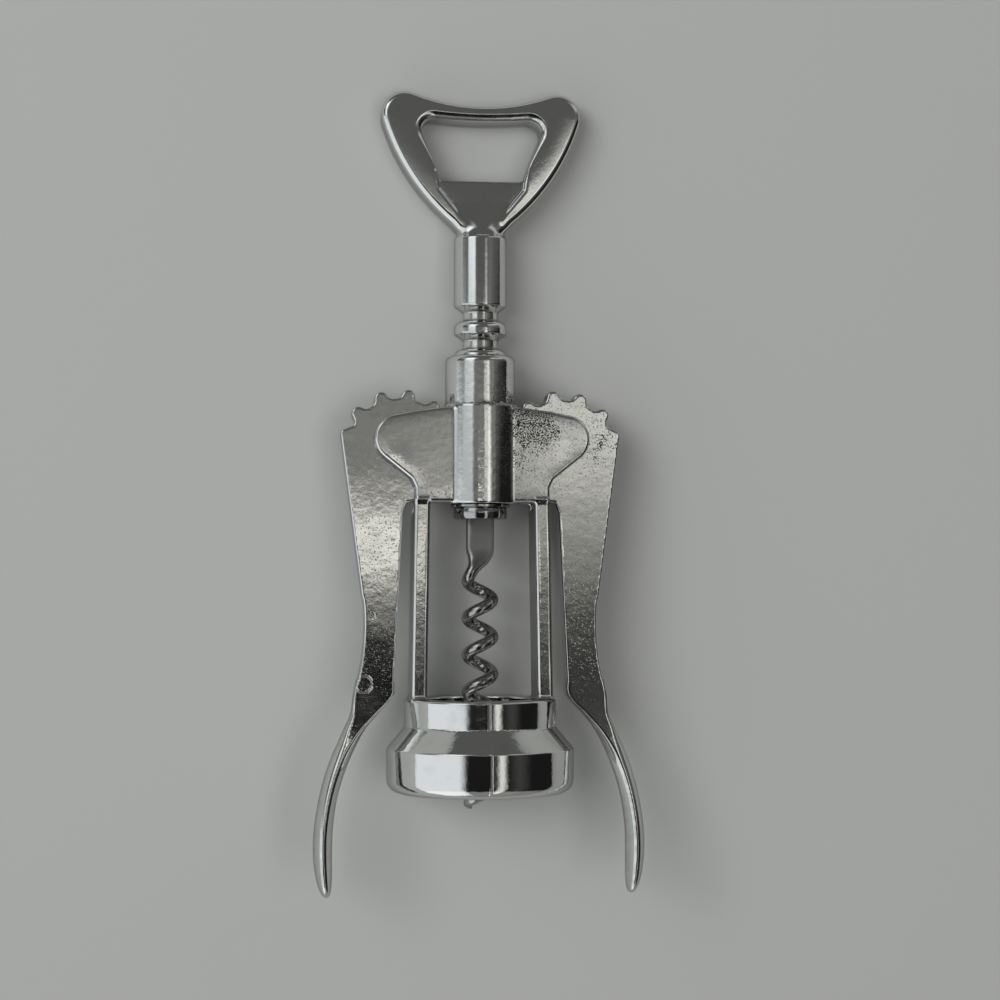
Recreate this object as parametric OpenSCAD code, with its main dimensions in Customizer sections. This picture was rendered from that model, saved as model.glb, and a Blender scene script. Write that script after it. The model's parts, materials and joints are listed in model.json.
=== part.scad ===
// Wing corkscrew, lying on its back with the levers down.
// X runs across the levers, Y along the screw from the bell's mouth towards the handle,
// and Z away from the table. Every module builds its piece along Y, and lying() then lowers
// the handle's end until the bell and the head both touch the table.

/* [Bell and collar] */
// Outer radius of the bell
bell_r = 21; // [20:0.5:22]
// Height of the bell's straight band
bell_band_h = 9.8; // [9:0.1:11]
// Outer radius of the collar above the bell
collar_r = 16.9; // [16.7:0.1:17.5]
// Height of the collar's top edge above the bell's mouth
collar_top = 20.8; // [20:0.1:22]
// Radius of the socket that goes over a bottle's neck
socket_r = 16; // [15.5:0.1:16.5]
// Depth of that socket
socket_depth = 9.5; // [9:0.1:10.5]
// Radius of the passage that a cork is drawn through
passage_r = 12.2; // [12:0.1:12.6]

/* [Barrel, rails and wings] */
// Outer radius of the barrel between the wings
barrel_r = 8.7; // [8.5:0.1:9]
// Outer radius of the barrel's top sleeve
sleeve_r = 7.85; // [7.6:0.05:8.2]
// Radius of the barrel's bore
bore_r = 6; // [5.98:0.01:6.02]
// Height of the barrel's top edge
barrel_top = 97.1; // [96:0.1:98]
// Height of the wings' bottom edge
wing_bottom = 64.2; // [64:0.1:64.6]
// Half the thickness over both wing plates
wing_half = 6.2; // [6.1:0.1:6.6]
// Half the gap between the wing plates
slot_half = 3; // [2.9:0.1:3.2]
// Width of a side rail
rail_w = 3.45; // [3.2:0.05:3.6]
// Depth of a side rail
rail_d = 12; // [11:0.5:12]

/* [Rack and gears] */
// Distance from one rack ring to the next
rack_pitch = 6.285; // [6.28:0.005:6.29]
// Radius of the rack's rings and of the stem
rod_r = 5.92; // [5.9:0.01:5.94]
// Radius of the necks between the rings
neck_r = 3.9; // [3.7:0.1:3.9]
// Angle from one gear tooth to the next
tooth_step = 28.2; // [28.1:0.1:28.3]
// Radius over the gear's tooth tips
gear_tip_r = 13.9; // [13.7:0.1:13.9]
// Radius at the gear's tooth roots
gear_root_r = 11.5; // [11.3:0.1:11.6]

/* [Levers and pins] */
// Distance of each lever's pivot from the screw's axis
pivot_x = 18.2; // [18.2:0.05:18.4]
// Height of the pivots above the bell's mouth
pivot_y = 75.6; // [75.5:0.1:75.7]
// Thickness of a lever's flat arm
lever_t = 5.6; // [5.2:0.1:5.7]
// Radius of a pivot pin
pin_r = 2; // [1.8:0.1:2.2]
// Clearance between a pin and its lever
pin_clear = 0.06; // [0.03:0.01:0.08]

/* [Handle] */
// Height at which the round stem runs into the head
stem_top = 123.8; // [123.6:0.1:124.2]
// Thickness of the bottle-opener head
head_t = 8.4; // [8:0.1:9]
// Depth of the panel sunk between the head's rims
panel_depth = 0.5; // [0.3:0.05:0.8]

/* [Worm] */
// Diameter of the worm's wire
wire_d = 2.7; // [2.5:0.1:2.9]
// Radius of the helix that the wire's middle follows
helix_r = 2.78; // [2.6:0.02:2.9]
// Height gained in one turn of the worm
helix_pitch = 8.24; // [8:0.02:8.5]
// Width of the tang at the worm's top
tang_w = 6.2; // [5.8:0.1:6.4]
// Thickness of that tang
tang_t = 2.6; // [2.4:0.1:2.8]

/* [Hidden] */
$fn = 64;
chrome = [0.72, 0.73, 0.72];
steel = [0.5, 0.5, 0.49];

// the head's far edge and the bell's upper edge both rest on the table
head_rest_y = stem_top + 30.7;
tilt = atan((bell_r - head_t / 2) / (head_rest_y - bell_band_h));

sleeve_bottom = barrel_top - 11;
gear_room = 0.5;
mouth_r = socket_r + 1;
bell_cone_top = bell_band_h + 4.7;
bell_round = 3;
edge_round = 0.6;
sleeve_round = 1.4;
rail_out_bottom = collar_r - 1.2;
rail_out_top = rail_out_bottom - 0.7;
rail_round = 0.7;
rail_len = wing_bottom + 3 - collar_top;
splay = atan((rail_out_bottom - rail_out_top) / rail_len);
wing_tip = [pivot_x + 0.4, pivot_y + 2.8];
wing_tip_r = 5.3;
pin_front = 5;

// Lower corner of the rack's first full ring, which the gears' teeth reach under at rest
ring_corner = pivot_y + 1.25 - rack_pitch;
ring_count = 5;
ring_straight = 1.3;
ring_shoulder = 1.6;
ring_chamfer = 1.44;
head_foot_w = 4.1;
head_side_r = 48;
head_lobe_r = 5.2;
head_dip_r = 44.06;
mouth_corner_r = 1.7;
mouth_lobe_r = 2.8;
mouth_top_r = 109.8;
rod_end = wing_bottom - 0.3;
spigot_r = 4;
washer_r = bore_r + 0.65;
washer_t = 0.65;
ferrule_r = rod_r + 0.08;
ferrule_end = rod_end - 3.3;
ferrule_top = rod_end - washer_t - 0.05;
seat_gap = 0.02;
tang_top = wing_bottom + 9.8;
tang_bottom = ferrule_end - 6.1;

first_tooth = -3.6;
tooth_count = 6;
tooth_tip_w = 2.9;
tooth_tip_round = 1.43;
tooth_root_w = 3;
tooth_fillet = 1.3;

// Points on an arc about c, from angle a0 to a1
function arc(c, r, a0, a1, n = 6) =
    [for (i = [0:n]) let (a = a0 + (a1 - a0) * i / n) c + r * [cos(a), sin(a)]];

// An outline's right half followed by its mirror image, back to the start
function both_halves(p) = concat(p, [for (i = [len(p) - 1:-1:0]) if (p[i][0] > 0.001) [-p[i][0], p[i][1]]]);

function turned(p, a) = [p[0] * cos(a) - p[1] * sin(a), p[0] * sin(a) + p[1] * cos(a)];

// Lays a piece that was built along Y down on the table
module lying() rotate([-tilt, 0, 0]) children();

// Stands a shape that was revolved or extruded along Z up along Y
module along_y() rotate([-90, 0, 0]) children();

// Skin over a stack of rings with equal numbers of points, closed at both ends
module skin(rings) {
    n = len(rings[0]);
    m = len(rings);
    points = [for (ring = rings) for (p = ring) p];
    sides = [for (j = [0:m - 2]) for (i = [0:n - 1])
        let (a = j * n + i, b = j * n + (i + 1) % n)
        each [[a, a + n, b + n], [a, b + n, b]]];
    caps = [[for (i = [0:n - 1]) i], [for (i = [n - 1:-1:0]) (m - 1) * n + i]];
    polyhedron(points, concat(sides, caps), convexity = 8);
}

// ---- frame casting ----

module bell_outside() along_y() rotate_extrude() polygon(concat(
    [[0, 0]],
    arc([bell_r - bell_round, bell_round], bell_round, -90, 0),
    arc([bell_r - edge_round, bell_band_h - edge_round], edge_round, 0, 45, 3),
    [[collar_r, bell_cone_top]],
    arc([collar_r - edge_round, collar_top - edge_round], edge_round, 0, 90, 3),
    [[0, collar_top]]));

module bell_inside() along_y() rotate_extrude() polygon([
    [0, -1], [mouth_r + 0.9, -1], [mouth_r + 0.5, 0], [mouth_r, 0.6], [socket_r, 3.5],
    [socket_r, socket_depth], [passage_r, socket_depth],
    [passage_r, collar_top + 1], [0, collar_top + 1]]);

module rounded_bar(w, d, r) {
    square([w - 2 * r, d], center = true);
    square([w, d - 2 * r], center = true);
    for (x = [-1, 1], y = [-1, 1]) translate([x * (w / 2 - r), y * (d / 2 - r)]) circle(r);
}

module rail(side) translate([side * (rail_out_bottom - rail_w / 2), collar_top - 1, 0])
    rotate([0, 0, side * splay]) along_y() linear_extrude(rail_len) rounded_bar(rail_w, rail_d, rail_round);

module barrel_outside() along_y() rotate_extrude() polygon(concat(
    [[0, wing_bottom - 0.2], [barrel_r - 0.3, wing_bottom - 0.2], [barrel_r, wing_bottom + 0.1]],
    [[barrel_r, sleeve_bottom - 0.3], [barrel_r - 0.3, sleeve_bottom], [sleeve_r, sleeve_bottom]],
    arc([sleeve_r - sleeve_round, barrel_top - sleeve_round], sleeve_round, 0, 90),
    [[0, barrel_top]]));

module wing_plates() linear_extrude(2 * wing_half, center = true) polygon(both_halves(concat(
    [[0, wing_bottom], [14.9, wing_bottom], [14.9, 67.5], [15.8, 69.4]],
    arc(wing_tip, wing_tip_r, -50, 75, 14),
    [[15, 84.5], [8.5, 85.4], [0, 85.7]])));

module frame() color(chrome) lying() difference() {
    union() {
        difference() {
            bell_outside();
            bell_inside();
        }
        for (side = [-1, 1]) rail(side);
        barrel_outside();
        wing_plates();
    }
    translate([0, wing_bottom - 4, 0]) along_y() cylinder(r = bore_r, h = barrel_top);
    for (side = [-1, 1]) translate([side * pivot_x, pivot_y, 0]) {
        cylinder(r = gear_tip_r + gear_room, h = 2 * slot_half, center = true);
        translate([0, 0, -wing_half - 1]) cylinder(r = pin_r, h = wing_half + 1 + pin_front);
    }
}

// ---- handle casting ----

// The head's outline and its mouth, with Y counted from the stem's top
module head_plate() translate([0, stem_top, 0]) linear_extrude(head_t, center = true) difference() {
    polygon(both_halves(concat(
        [[0, -2.3], [head_foot_w, -2.3], [head_foot_w, 0.3], [5.7, 1.6]],
        arc([-23.6, 40], head_side_r, -50.5, -17.5, 10),
        arc([17.2, 27.1], head_lobe_r, -17.5, 110.4, 12),
        arc([0, 29.2 + head_dip_r], head_dip_r, -acos(15.36 / head_dip_r), -90, 6))));
    polygon(both_halves(concat(
        [[0, 12.4]],
        arc([8.2, 14.1], mouth_corner_r, -90, -21, 6),
        arc([10.6, 23.5], mouth_lobe_r, -21, 95.5, 10),
        arc([0, 25.8 + mouth_top_r], mouth_top_r, -acos(10.52 / mouth_top_r), -90, 4))));
}

module head_panel() for (side = [0, 1]) mirror([0, 0, side])
    translate([0, stem_top, head_t / 2 - panel_depth]) linear_extrude(head_t)
    polygon(both_halves([[0, 3.6], [2.6, 3.6], [8.9, 11], [9.2, 13], [0, 13]]));

// One ring of the rack, seen as radius and height, from its neck below to its shoulder's end
function ring_profile(corner) = concat(
    [[neck_r, corner - ring_chamfer], [rod_r, corner]],
    arc([rod_r - ring_shoulder, corner + ring_straight], ring_shoulder, 0, 90),
    [[neck_r, corner + ring_straight + ring_shoulder + 0.12]]);

// Rack and stem in one: spigot, half ring at the rod's end, full rings, then the plain stem
module rod() {
    end_ring = ring_corner - rack_pitch;
    stem_corner = ring_corner + (ring_count + 1) * rack_pitch;
    along_y() rotate_extrude() polygon(concat(
        [[0, ferrule_end], [spigot_r, ferrule_end], [spigot_r, rod_end], [rod_r, rod_end]],
        arc([rod_r - ring_shoulder, end_ring + ring_straight], ring_shoulder, 0, 90),
        [[neck_r, end_ring + ring_straight + ring_shoulder + 0.12]],
        [for (i = [0:ring_count]) for (p = ring_profile(ring_corner + i * rack_pitch)) p],
        [[neck_r, stem_corner - ring_chamfer], [rod_r, stem_corner], [rod_r, stem_top]],
        [[rod_r - 0.4, stem_top + 0.4], [0, stem_top + 0.4]]));
}

module tang_socket()
    translate([-tang_w / 2 - seat_gap, ferrule_end - 1, -tang_t / 2 - seat_gap])
    cube([tang_w + 2 * seat_gap, tang_top - ferrule_end + 1, tang_t + 2 * seat_gap]);

module handle() color(chrome) lying() difference() {
    union() {
        head_plate();
        rod();
    }
    head_panel();
    tang_socket();
}

module stop_washer() color(steel) lying() translate([0, rod_end - washer_t, 0]) along_y() difference() {
    cylinder(r = washer_r, h = washer_t);
    translate([0, 0, -1]) cylinder(r = spigot_r + 0.06, h = washer_t + 2);
}

module end_collar() color(steel) lying() along_y() rotate_extrude() polygon([
    [spigot_r, ferrule_end], [ferrule_r - 0.4, ferrule_end], [ferrule_r, ferrule_end + 0.4],
    [ferrule_r, ferrule_top], [spigot_r, ferrule_top]]);

// ---- worm ----

front_cross = collar_top + 20;
tip_y = -3.6;
wire_sides = 12;
top_turn = 270;
helix_top = front_cross + helix_pitch * top_turn / 360;
turns_down = (helix_top - tip_y) / helix_pitch;
rise = helix_pitch / 360;

function helix(a) = [helix_r * sin(a), front_cross + rise * a, helix_r * cos(a)];
function unit(v) = v / norm(v);
function bezier(p, t) = pow(1 - t, 3) * p[0] + 3 * t * pow(1 - t, 2) * p[1]
    + 3 * t * t * (1 - t) * p[2] + pow(t, 3) * p[3];

helix_dir = unit([0, helix_pitch, 2 * PI * helix_r]);
bend = [[0, tang_bottom, 0], [0, tang_bottom - 3.5, 0],
        helix(top_turn) + 3.4 * helix_dir, helix(top_turn)];
bend_steps = 10;
turn_step = 15;
helix_steps = floor(turns_down * 360 / turn_step);

// Middle line of the worm from the tang's top to the tip
worm_path = concat(
    [[0, tang_top, 0], [0, tang_bottom + 0.8, 0]],
    [for (i = [0:bend_steps - 1]) bezier(bend, i / bend_steps)],
    [for (i = [0:helix_steps]) helix(top_turn - i * turn_step)]);
bend_start = 2;
helix_start = bend_start + bend_steps;

// Half width and half thickness of the section at each point of that line
function worm_half(i) =
    i <= bend_start ? [tang_w / 2, tang_t / 2]
    : i < helix_start
        ? let (t = max(0, min(1, 1.8 * (i - bend_start) / bend_steps - 0.1)), s = t * t * (3 - 2 * t))
          [tang_w / 2 * (1 - s) + wire_d / 2 * s, tang_t / 2 * (1 - s) + wire_d / 2 * s]
        : let (left = len(worm_path) - 1 - i, s = min(1, 0.3 + left / 9)) [wire_d / 2 * s, wire_d / 2 * s];

// How square the section is: 0 is round, and near 1 is the tang's flat bar
tang_square = 0.95;
function worm_square(i) = i <= bend_start ? tang_square
    : i < helix_start ? tang_square * max(0, 1 - 1.6 * (i - bend_start) / bend_steps)
    : 0;

function worm_side(i) = let (p = worm_path[i]) i < helix_start ? [-1, 0, 0] : unit([p[0], 0, p[2]]);

function worm_ring(i) =
    let (a = worm_path[max(i - 1, 0)], b = worm_path[min(i + 1, len(worm_path) - 1)])
    let (along = unit(b - a), out = unit(worm_side(i) - (worm_side(i) * along) * along))
    let (across = cross(along, out), half = worm_half(i), q = worm_square(i))
    [for (k = [0:wire_sides - 1])
        let (a = 360 * (k + 0.5) / wire_sides, c = cos(a), s = sin(a))
        let (big = max(abs(c), abs(s)), u = c * (1 - q) + q * c / big, v = s * (1 - q) + q * s / big)
        worm_path[i] + out * half[0] * u + across * half[1] * v];

module worm() color(steel) lying() skin([for (i = [0:len(worm_path) - 1]) worm_ring(i)]);

// ---- levers: drawn for the right side about their pivot, with the rack towards -X ----

// One tooth standing out along +X, from the root before it to the root after it
function tooth() = let (r = tooth_fillet, w = tooth_root_w / 2, e = tooth_tip_w / 2 - tooth_tip_round)
    concat(
        arc([gear_root_r + r, w + r], r, 180, 270, 4),
        arc([gear_tip_r - tooth_tip_round, e], tooth_tip_round, 85, 0, 5),
        arc([gear_tip_r - tooth_tip_round, -e], tooth_tip_round, 0, -85, 5),
        arc([gear_root_r + r, -w - r], r, 90, 180, 4));

function gear_points() = [for (k = [0:tooth_count - 1])
    for (p = tooth()) turned(p, 180 - first_tooth - k * tooth_step)];

arm_end = -52.6;
module lever_plate() linear_extrude(lever_t, center = true) polygon(concat(
    arc([0, 0], gear_root_r, 262, 200, 8),
    gear_points(),
    arc([12.1, 3.9], 1, 78, 0, 4),
    [[8.3, -32]],
    arc([60.3, -38.3], 52.6, 174.5, 195, 8),
    [[9.55, arm_end], [1.15, arm_end], [-0.8, -13.5]]));

// Stations down the curved grip: x, y, the section's slant, half thickness in the middle,
// half thickness at the front and rear edges, and half width
grip = [
    [5.2, -49.5, -5, 4.05, 3.85, 2.78],
    [5.6, -53.9, -9, 4.45, 4.35, 2.8],
    [7.7, -58.2, -2, 3.05, 2.6, 2.8],
    [9.6, -61.2, 8, 2.45, 1.7, 2.82],
    [11.15, -64.2, 17, 2.15, 1, 2.9],
    [12.7, -67.6, 21, 2.05, 0.6, 3.05],
    [14.4, -72.3, 19, 2, 0.47, 3.3],
    [15.7, -77.5, 13, 2, 0.45, 3.6],
    [16.55, -83.5, 5, 2.1, 0.45, 3.9],
    [16.7, -89, -2, 2.1, 0.45, 4],
    [16.45, -93.6, -7, 1.85, 0.42, 3.7],
    [16.1, -96.7, -10, 1.3, 0.38, 2.8],
    [15.85, -98.4, -10, 0.6, 0.25, 1.3]];
grip_steps = 3;
section_levels = [-1, -0.7, -0.35, 0, 0.35, 0.7, 1];

// The station at t, counted from 0, on a smooth curve through them all
function grip_at(t) =
    let (i = min(floor(t), len(grip) - 2), f = t - i)
    let (a = grip[max(i - 1, 0)], b = grip[i], c = grip[i + 1], d = grip[min(i + 2, len(grip) - 1)])
    i < 2 ? b + (c - b) * f
    : 0.5 * (2 * b + (c - a) * f + (2 * a - 5 * b + 4 * c - d) * f * f + (3 * b - a - 3 * c + d) * pow(f, 3));

function grip_point(g, level, side) =
    let (h = side * (g[4] + (g[3] - g[4]) * (1 - level * level)))
    [g[0] + cos(g[2]) * h, g[1] + sin(g[2]) * h, g[5] * level];

function grip_ring(g) = concat(
    [for (l = section_levels) grip_point(g, l, 1)],
    [for (l = section_levels) grip_point(g, -l, -1)]);

module lever() difference() {
    union() {
        lever_plate();
        skin([for (j = [0:(len(grip) - 1) * grip_steps]) grip_ring(grip_at(j / grip_steps))]);
    }
    cylinder(r = pin_r + pin_clear, h = lever_t + 2, center = true);
}

module left_lever() color(chrome) lying() translate([-pivot_x, pivot_y, 0]) mirror([1, 0, 0]) lever();
module right_lever() color(chrome) lying() translate([pivot_x, pivot_y, 0]) lever();

module pivot_pin(side) color(steel) lying() translate([side * pivot_x, pivot_y, -wing_half])
    cylinder(r = pin_r, h = wing_half + pin_front);
module left_pivot_pin() pivot_pin(-1);
module right_pivot_pin() pivot_pin(1);

frame();
handle();
worm();
stop_washer();
end_collar();
left_lever();
right_lever();
left_pivot_pin();
right_pivot_pin();
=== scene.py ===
import json
import math
import bpy
import numpy as np
import openvdb
from mathutils import Matrix, Vector


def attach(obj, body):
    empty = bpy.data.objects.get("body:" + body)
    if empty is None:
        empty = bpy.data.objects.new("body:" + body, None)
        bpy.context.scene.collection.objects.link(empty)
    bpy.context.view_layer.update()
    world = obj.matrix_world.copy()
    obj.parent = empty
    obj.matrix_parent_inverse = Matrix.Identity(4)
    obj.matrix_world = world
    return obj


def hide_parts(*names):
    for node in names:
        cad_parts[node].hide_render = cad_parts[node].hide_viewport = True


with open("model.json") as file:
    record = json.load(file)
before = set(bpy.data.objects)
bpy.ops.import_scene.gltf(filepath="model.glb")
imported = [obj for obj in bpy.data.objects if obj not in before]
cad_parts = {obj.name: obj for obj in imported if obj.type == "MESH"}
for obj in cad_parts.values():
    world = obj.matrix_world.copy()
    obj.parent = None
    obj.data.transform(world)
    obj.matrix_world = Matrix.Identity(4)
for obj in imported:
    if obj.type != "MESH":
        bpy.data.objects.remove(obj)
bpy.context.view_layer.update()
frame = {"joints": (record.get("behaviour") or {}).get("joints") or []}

# Shapes are worked out in millimetres in the corkscrew's own frame: X across the levers,
# Y up the screw's axis from the bell's mouth, Z out of the front. lay() tips that frame
# onto the table, where the screw's axis leans.
slide = next(joint for joint in frame["joints"] if joint["name"] == "rack_slide")
leanCos, leanSin = -slide["axis"][1], slide["axis"][2]

# how a casting is meshed: cells in a slab of the grid, rounds of moving the vertices, the
# steps for slopes and normals, and how far beside the surface its wear is felt for
meshing = {"slab": 24, "rounds": 3, "step": 0.05, "normalStep": 0.12, "probe": 0.7, "span": 0.4}
beyond = -5  # a turned outline starts past the axis, so that the edge closing it is no surface


def lay(points):
    # turns own-frame millimetres about X by the lean, then to metres
    x, y, z = points[:, 0], points[:, 1], points[:, 2]
    return np.stack([x, y * leanCos + z * leanSin, -y * leanSin + z * leanCos], 1) / 1000


def laidPoint(x, y, z):
    # the same for a single point
    return tuple(lay(np.array([[x, y, z]], float))[0])


def softMin(a, b, k):
    # smaller of two distances, with a fillet about k wide where they meet
    h = np.clip(0.5 + 0.5 * (b - a) / k, 0, 1)
    return b + (a - b) * h - k * h * (1 - h)


def softMax(a, b, k):
    # larger of two distances, with the same fillet: softMin of both with their signs turned
    return -softMin(-a, -b, k)


def fade(value, a, b):
    # 0 at a and before, 1 at b and beyond, eased at both ends
    t = np.clip((value - a) / (b - a), 0, 1)
    return t * t * (3 - 2 * t)


def arc(cx, cy, r, a0, a1, steps=8):
    # points on a circle of radius r about cx, cy, from the angle a0 to a1 in degrees
    t = np.radians(np.linspace(a0, a1, steps + 1))
    return np.stack([cx + r * np.cos(t), cy + r * np.sin(t)], 1)


def outline(*parts):
    # single points and runs of points, joined end to end into one closed line
    return np.concatenate([np.atleast_2d(np.array(p, float)) for p in parts])


def inset(points, d):
    # each edge of a counter-clockwise outline moved inwards by d, and the edges met again
    before = points - np.roll(points, 1, 0)
    after = np.roll(points, -1, 0) - points
    n0 = np.stack([-before[:, 1], before[:, 0]], 1) / np.linalg.norm(before, axis=1)[:, None]
    n1 = np.stack([-after[:, 1], after[:, 0]], 1) / np.linalg.norm(after, axis=1)[:, None]
    return points + (n0 + n1) * (d / (1 + (n0 * n1).sum(1)))[:, None]


def flatDistance(x, y, points):
    # signed distance in the plane to a closed outline: nearest edge, negative inside
    nearest = np.full(x.shape, 1e9, np.float32)
    inside = np.zeros(x.shape, bool)
    for (ax, ay), (bx, by) in zip(points, np.roll(points, -1, 0)):
        ex, ey = bx - ax, by - ay
        wx, wy = x - ax, y - ay
        t = np.clip((wx * ex + wy * ey) / (ex * ex + ey * ey), 0, 1)
        nearest = np.minimum(nearest, (wx - ex * t) ** 2 + (wy - ey * t) ** 2)
        if ay != by:
            inside ^= ((ay <= y) != (by <= y)) & (x < ax + (y - ay) * ex / ey)
    return np.where(inside, -1, 1) * np.sqrt(nearest)


def turnedShape(x, y, z, points, edge):
    # an outline of radius and height, revolved about the axis, its corners rounded by edge
    return flatDistance(np.sqrt(x * x + z * z), y, inset(points, edge)) - edge


def roundedEdge(u, v, edge):
    # distance to a body that two faces bound, u and v being the distances to these faces:
    # outside both it is the root of their squares, and the edge between them is rounded
    u, v = u + edge, v + edge
    outside = np.sqrt(np.maximum(u, 0) ** 2 + np.maximum(v, 0) ** 2)
    return outside + np.minimum(np.maximum(u, v), 0) - edge


def plateShape(flat, z, half, edge, crown=0.0, reach=4.0):
    # a flat outline given thickness, with its edges rounded and its faces falling by crown
    # towards the outline over the width reach
    half = half - crown * (1 - np.clip(-flat / reach, 0, 1)) ** 2
    return roundedEdge(flat, np.abs(z) - half, edge)


def newObject(name, body, replaced):
    # an empty mesh that rides on its body, in place of its solid
    obj = bpy.data.objects.new(name, bpy.data.meshes.new(name))
    bpy.context.scene.collection.objects.link(obj)
    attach(obj, body)
    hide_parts(replaced)
    return obj


def mark(obj, label, values):
    # one value from 0 to 1 at each vertex, which the materials read by its label
    layer = obj.data.attributes.new(label, "FLOAT", "POINT")
    layer.data.foreach_set("value", np.clip(values, 0, 1).astype(np.float32))


def slope(field, points, step):
    # the field's slope at each point and its length, from the difference between one step
    # forwards and one step backwards along each axis
    columns = []
    for k in range(3):
        shift = np.zeros(3, np.float32)
        shift[k] = step
        columns.append(field(*(points + shift).T) - field(*(points - shift).T))
    g = np.stack(columns, 1) / (2 * step)
    return g, np.maximum(np.linalg.norm(g, axis=1), 1e-4)


def sculpt(name, field, satin, room, body, replaced, flip=False):
    # the surface where a distance field is zero: meshed on a grid, then every vertex is
    # moved along the field's slope until it lies on the surface, and takes its normal from it
    cell, slab = room["cell"], meshing["slab"]
    axes = [np.arange(low - 2 * cell, high + 3 * cell, cell, dtype=np.float32)
            for low, high in zip(room["low"], room["high"])]
    limit = 3 * cell
    block = np.full([len(a) for a in axes], limit, np.float32)
    for i in range(0, len(axes[0]), slab):
        grid = np.meshgrid(axes[0][i:i + slab], axes[1], axes[2], indexing="ij")
        block[i:i + slab] = np.clip(field(*grid), -limit, limit)
    volume = openvdb.FloatGrid(limit)
    volume.copyFromArray(block)
    points, quads = volume.convertToQuads(0.0)
    points = points * cell + np.array([a[0] for a in axes], np.float32)
    for turn in range(meshing["rounds"]):
        g, size = slope(field, points, meshing["step"])
        move = np.clip(field(*points.T) / size, -0.5 * cell, 0.5 * cell)
        points = points - g / size[:, None] * move[:, None]
    g, size = slope(field, points, meshing["normalStep"])
    normals = g / size[:, None]
    probe, span = meshing["probe"], meshing["span"]
    inner, outer = field(*(points - normals * probe).T), field(*(points + normals * probe).T)
    # crevice grows where another surface lies close outside; the materials darken there as grime
    # and painted shade
    crevice, sharp, dull = (probe - outer) / span, (inner + probe) / span, satin(*points.T)
    if flip:
        points, normals = points * [-1, 1, 1], normals * [-1, 1, 1]
        quads = quads[:, ::-1]
    obj = newObject(name, body, replaced)
    obj.data.from_pydata(lay(points).tolist(), [], quads.tolist())
    obj.data.shade_smooth()
    obj.data.normals_split_custom_set_from_vertices((lay(normals) * 1000).tolist())
    mark(obj, "crevice", crevice)
    mark(obj, "sharp", sharp)
    mark(obj, "satin", dull)
    print(name, "triangles", 2 * len(quads))
    return obj


def gridSurface(name, rings, body, replaced, hollow=False):
    # rings of points, each ring closed on itself. The first and last ring are capped, or
    # joined to each other where the piece has a hole along its axis
    index = np.arange(rings.shape[0] * rings.shape[1]).reshape(rings.shape[:2])
    if hollow:
        index = np.concatenate([index, index[:1]])
    a, b = index[:-1], index[1:]
    faces = np.stack([a, np.roll(a, -1, 1), np.roll(b, -1, 1), b], -1).reshape(-1, 4).tolist()
    if not hollow:
        faces += [index[0][::-1].tolist(), index[-1].tolist()]
    obj = newObject(name, body, replaced)
    obj.data.from_pydata(lay(rings.reshape(-1, 3)).tolist(), [], faces)
    obj.data.shade_smooth()
    return obj


def turnedRings(profile, centre=(0, 0), sides=96, alongZ=False):
    # radius and height of each profile point, carried round the screw's axis, or round an
    # axis through the front at centre
    t = np.linspace(0, 2 * np.pi, sides, endpoint=False)
    r, h = np.array(profile)[:, :1], np.array(profile)[:, 1:]
    if alongZ:
        return np.stack([centre[0] + r * np.cos(t), centre[1] + r * np.sin(t), h + 0 * t], -1)
    return np.stack([r * np.sin(t), h + 0 * t, r * np.cos(t)], -1)


# Frame casting: bell, two rails, barrel and the wing plates that hold the levers
print("frame casting")
bell = {"r": 20.88, "bandTop": 9.8, "coneTop": 14.5, "collarR": 16.9, "collarTop": 20.8, "lip": 3,
        "edge": 0.55, "flareR": 17.5, "mouthR": 17, "mouthDepth": 0.6, "socketR": 16,
        "socketFrom": 3.5, "socketDepth": 9.5, "passageR": 12.2, "passageTop": 25, "cut": 0.5}
barrel = {"r": 8.7, "sleeveR": 7.85, "bottom": 64, "sleeveBottom": 86.1, "top": 97.1,
          "topRound": 1.4, "edge": 0.3, "boreR": 6, "boreFrom": 55, "boreEdge": 0.3}
rails = {"bottom": 19, "top": 65, "outBottom": 15.7, "outTop": 15, "rise": 46.4, "width": 3.45,
         "depth": 12, "edge": 0.75, "fillet": 0.7}
wings = {"foot": ((-4, 64.2), (14.9, 64.2), (14.9, 67.5), (15.8, 69.4)),
         "tip": (18.6, 78.4), "tipR": 5.3, "tipFrom": -50, "tipTo": 75,
         "crest": ((15, 84.5), (8.5, 85.4), (-4, 85.7)),
         "half": 6.2, "edge": 0.65, "crown": 0.05, "crownReach": 3, "slotHalf": 3,
         "slotEdge": 0.35, "fillet": 0.7, "railFillet": 0.6}
gears = {"pivotX": 18.2, "pivotY": 75.6, "tipR": 13.9, "rootR": 11.5, "room": 0.5, "pinR": 2,
         "pinRoom": 0.02, "pinTop": 5, "firstTooth": -3.6, "step": 28.2, "teeth": 6}
# the mould's parting line up the bell's front, and what is left of the gate beside it
castMarks = {"seam": 0.09, "seamWidth": 0.22, "seamTop": 21.5, "stub": 0.45,
             "stubAt": (15.9, 16.2, 5.5), "stubLength": 0.55, "stubSpread": 1.1}
frameRoom = {"low": (-24.2, -0.5, -21.3), "high": (24.2, 97.6, 21.3), "cell": 0.41}

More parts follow.
